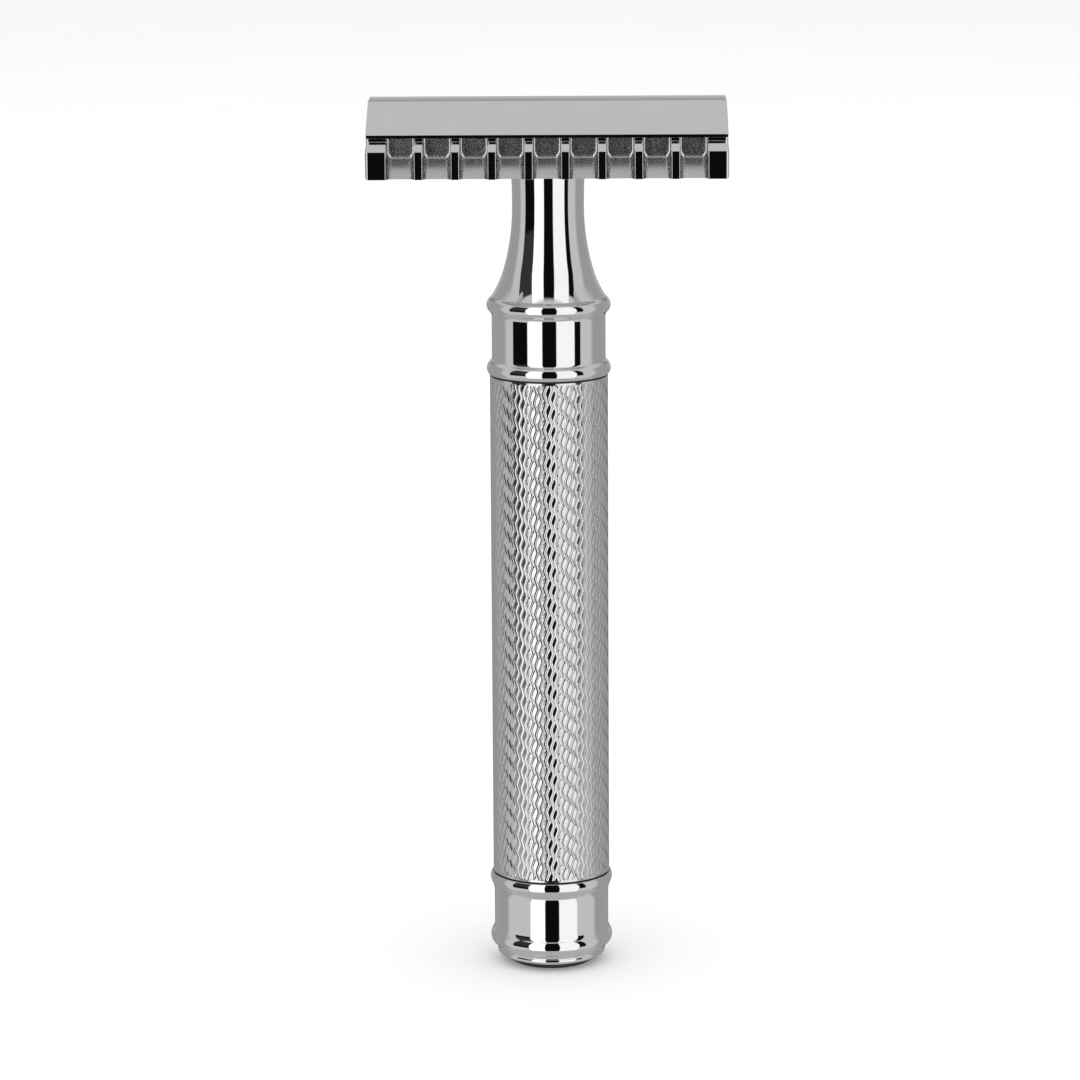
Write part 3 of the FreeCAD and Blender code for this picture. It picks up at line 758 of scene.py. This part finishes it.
def joined(pieces):
    deselect()
    for piece in pieces:
        piece.select_set(True)
    bpy.context.view_layer.objects.active = pieces[0]
    bpy.ops.object.join()
    return pieces[0]


def gap_distance(x):
    """Distance along the head from the middle of the nearest gap."""
    pitch = TOOTH + GAP
    nearest = max(-(GAP_COUNT // 2), min(GAP_COUNT // 2, round(x / pitch)))
    return abs(x - nearest * pitch)


def make_comb():
    piece = bar(comb_outline(), HEAD_LENGTH)

    def end_edge(first, last):
        return abs(first.x - last.x) < 0.01 and abs(first.x) > 1

    bevel_edges(piece, end_edge, 0.3, 4)
    pitch = TOOTH + GAP
    places = [(number - (GAP_COUNT - 1) / 2) * pitch for number in range(GAP_COUNT)]
    carve(piece, joined([gap_tool(x, side) for x in places for side in (-1, 1)]))
    carve(piece, joined([core_tool(-1), core_tool(1)]))
    carve(piece, drill(0, SEAT_RADIUS, COMB_BOTTOM - 1, NECK_TOP))
    carve(piece, drill(0, STUD_HIGH.x + 0.08, COMB_BOTTOM - 1, BED_TOP + 1))
    for side in (-1, 1):
        carve(piece, drill(PIN_X * side, 1.5, COMB_BOTTOM - 1, BED_TOP + 1, 48))
    tidy_normals(piece)

    def tooth_edge(first, last):
        ahead = min(abs(first.y), abs(last.y)) > BED_EDGE + 1.0
        side = abs(gap_distance(first.x) - GAP / 2) < 0.01 and abs(first.x - last.x) < 0.01
        return ahead and side and max(first.z, last.z) > COMB_BOTTOM + 0.01

    bevel_edges(piece, tooth_edge, 0.08, 2)
    soften(piece, 0.05, 2, 35.0)
    dress_gaps(piece)
    finish_piece(piece, "open_comb", "comb", ["comb_plate"], CAP_CHROME, 30.0)


def dress_gaps(piece):
    """Polish the comb all over but for its gaps, which keep a satin finish."""
    piece.data.materials.append(CAP_CHROME)
    piece.data.materials.append(SATIN_CHROME)
    for face in piece.data.polygons:
        deep = GAP_WALL - 0.05 < abs(face.center.y) < COMB_FRONT - 0.25
        opened = gap_distance(face.center.x) < GAP / 2 + 0.005
        face.material_index = 1 if deep and opened else 0


def make_stud():
    """The cap's stud, its thread cut as a helix into a turned rod."""
    pitch, depth = 0.8, 0.43
    radius = STUD_HIGH.x
    low, high = STUD_LOW.z, STUD_HIGH.z
    row_height = 0.1
    rows = round((high - low) / row_height)
    heights = [low + (high - low) * row / rows for row in range(rows + 1)]
    outline = [(0, low), *((radius, z) for z in heights), (0, high)]
    piece = turned(outline, 64)
    thread_top = CAP_UNDERSIDE - 0.5
    for vertex in piece.data.vertices:
        x, y, z = vertex.co
        turn = (z / pitch - math.atan2(y, x) / (2 * math.pi)) % 1.0
        cut = depth * min(1.0, max(0.0, 1.6 * (1 - abs(2 * turn - 1)) - 0.15))
        fade = min(1.0, max(0.0, (thread_top - z) / 0.4))
        lead = 0.45 * min(1.0, max(0.0, 1 - (z - low) / 0.4))
        here = radius - max(cut * fade, lead)
        vertex.co = (x / radius * here, y / radius * here, z)
    finish_piece(piece, "threaded_stud", "cap", ["clamp_stud"], STUD_CHROME, 50.0)


def make_pin(side, node):
    radius, tip = (PIN_HIGH.x - PIN_LOW.x) / 2, 0.3
    piece = turned(chain(
        (0, PIN_LOW.z),
        (radius - tip, PIN_LOW.z),
        (radius, PIN_LOW.z + tip, tip, "left"),
        (radius, PIN_HIGH.z),
        (0, PIN_HIGH.z),
    ), 64)
    piece.data.transform(Matrix.Translation((PIN_X * side, 0, 0)))
    soften(piece, 0.03, 2)
    finish_piece(piece, node + "_turned", "cap", [node], STUD_CHROME)


def dress_hidden_nodes():
    """Finish the pieces whose plain solids already have the right shape."""
    finishes = {
        # The seal rings' near-black rubber is partly painted shade for the dark lines at the two handle
        # seams.
        "lower_seal_ring": SEAM_SHADE_RUBBER,
        "upper_seal_ring": SEAM_SHADE_RUBBER,
        "neck_insert": MACHINED_BRASS,
        "tie_screw": PLAIN_STEEL,
        "flat_washer": PLAIN_STEEL,
        "spring_washer": PLAIN_STEEL,
    }
    for node, material in finishes.items():
        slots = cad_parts[node].material_slots
        if slots:
            for slot in slots:
                slot.material = material
        else:
            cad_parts[node].data.materials.append(material)


# ------------------------------------------------------------------ studio

WHITE = 1.3
BRIGHT = 1.08
LIGHT_GREY = 0.6
MID_GREY = 0.36
CEILING_GREY = 0.582
BACK_LOW_GREY = 0.5
BACK_HIGH_GREY = 0.25
FLOOR_GREY = 0.46
DARK_GREY = 0.035
BLACK = 0.004

# Where the panels and cards stand, in degrees round the razor, and how low and high they reach.
LEFT_PANEL = (-43.0, -11.0)
RIGHT_PANEL = (15.0, 54.0)
PANEL_HEIGHTS = (-38.0, 52.0)
LEFT_CARD = (-77.0, -43.0)
MIDDLE_CARD = (-12.8, 16.0)
RIGHT_CARD = (54.0, 68.0)
CARD_HEIGHTS = (-14.0, 44.0)
BACK_WALL = (92.0, 104.0)
BACK_CENTRE = (140.0, 155.0)
BACK_CARD = (166.0, 168.0)
BACK_CARD_HEIGHTS = (-62.0, -8.0)


def studio_world():
    """Softboxes, black cards and grey walls, as the chrome sees them; plain pale to the eye."""
    world = bpy.data.worlds.new("studio")
    SCENE.world = world
    tree = Tree(world)
    place = tree.add("ShaderNodeTexCoord", {}, (), 0)
    split = tree.add("ShaderNodeSeparateXYZ", {}, [place]).socket.node
    x, y, z = (Wire(tree, output) for output in split.outputs)
    across = x.math("ARCTAN2", -y) * (180 / math.pi)
    up = z.math("ARCSINE") * (180 / math.pi)
    aside = across.math("ABSOLUTE")

    def between(value, ends, soft):
        """1 between two ends and 0 outside them, with soft edges."""
        low, high = ends
        rise = tree.ease(value, low - soft, low + soft)
        return rise * tree.ease(value, high - soft, high + soft, 1.0, 0.0)

    def over(base, level, mask):
        return mask * (level - base) + base

    centre = tree.ease(aside, *BACK_CENTRE)
    behind = over(MID_GREY, BACK_LOW_GREY, tree.ease(up, -6.0, 4.0) * centre)
    behind = over(behind, BACK_HIGH_GREY, tree.ease(up, 2.0, 16.0) * centre)
    back_card = tree.ease(aside, *BACK_CARD) * between(up, BACK_CARD_HEIGHTS, 2.0)
    behind = over(behind, DARK_GREY, back_card)
    level = over(behind, LIGHT_GREY, tree.ease(aside, *BACK_WALL, 1.0, 0.0))
    level = over(level, CEILING_GREY, tree.ease(up, 22.0, 36.0))
    cards = between(up, CARD_HEIGHTS, 1.5)
    left_shade = tree.ease(up, 1.0, 4.0, BLACK, DARK_GREY)
    level = over(level, left_shade, between(across, LEFT_CARD, 1.0) * cards)
    level = over(level, BLACK, between(across, RIGHT_CARD, 1.0) * cards)
    panels = between(up, PANEL_HEIGHTS, 2.0)
    level = over(level, WHITE, between(across, LEFT_PANEL, 0.8) * panels)
    level = over(level, BRIGHT, between(across, RIGHT_PANEL, 0.8) * panels)
    level = over(level, BLACK, between(across, MIDDLE_CARD, 0.8) * panels)
    level = over(level, FLOOR_GREY, tree.ease(up, -45.0, -38.0, 1.0, 0.0))
    path = tree.add("ShaderNodeLightPath").socket.node
    for kind in ("Is Camera Ray", "Is Diffuse Ray"):
        level = over(level, 1.0, Wire(tree, path.outputs[kind]))
    background = tree.nodes["Background"]
    tree.feed(background.inputs["Color"], tree.add("ShaderNodeCombineColor", {}, [level, level, level]))


def studio_floor():
    deselect()
    bpy.ops.mesh.primitive_plane_add(size=8.0, location=(0, 0, 0))
    floor = bpy.context.object
    floor.name = "studio_floor"
    material = bpy.data.materials.new("pale_floor")
    tree = Tree(material)
    shader = tree.nodes["Principled BSDF"]
    place = tree.add("ShaderNodeTexCoord", {}, (), 3)
    grain = noise(tree, place, 30.0, 3.0)
    tree.feed(shader.inputs["Base Color"], tree.blend(grain, grey(0.9), grey(0.92)))
    shader.inputs["Roughness"].default_value = 0.9
    floor.data.materials.append(material)
    floor.visible_glossy = False


def studio_light(name, place, size, power):
    bpy.ops.object.light_add(type="AREA", location=place)
    light = bpy.context.object
    light.name = name
    light.data.shape = "DISK"
    light.data.size = size
    light.data.energy = power
    light.visible_glossy = False
    light.rotation_euler = (Vector((0, 0, 0)) - Vector(place)).to_track_quat("-Z", "Y").to_euler()


def build():
    place_camera()
    make_button()
    make_knob()
    make_grip()
    make_neck()
    make_comb()
    make_cap()
    make_stud()
    make_pin(-1, "guide_pin_left")
    make_pin(1, "guide_pin_right")
    dress_hidden_nodes()
    studio_world()
    studio_floor()
    studio_light("overhead_softbox", (0.0, -0.3, 1.6), 2.4, 10.0)
    SCENE.view_settings.view_transform = "Standard"


build()
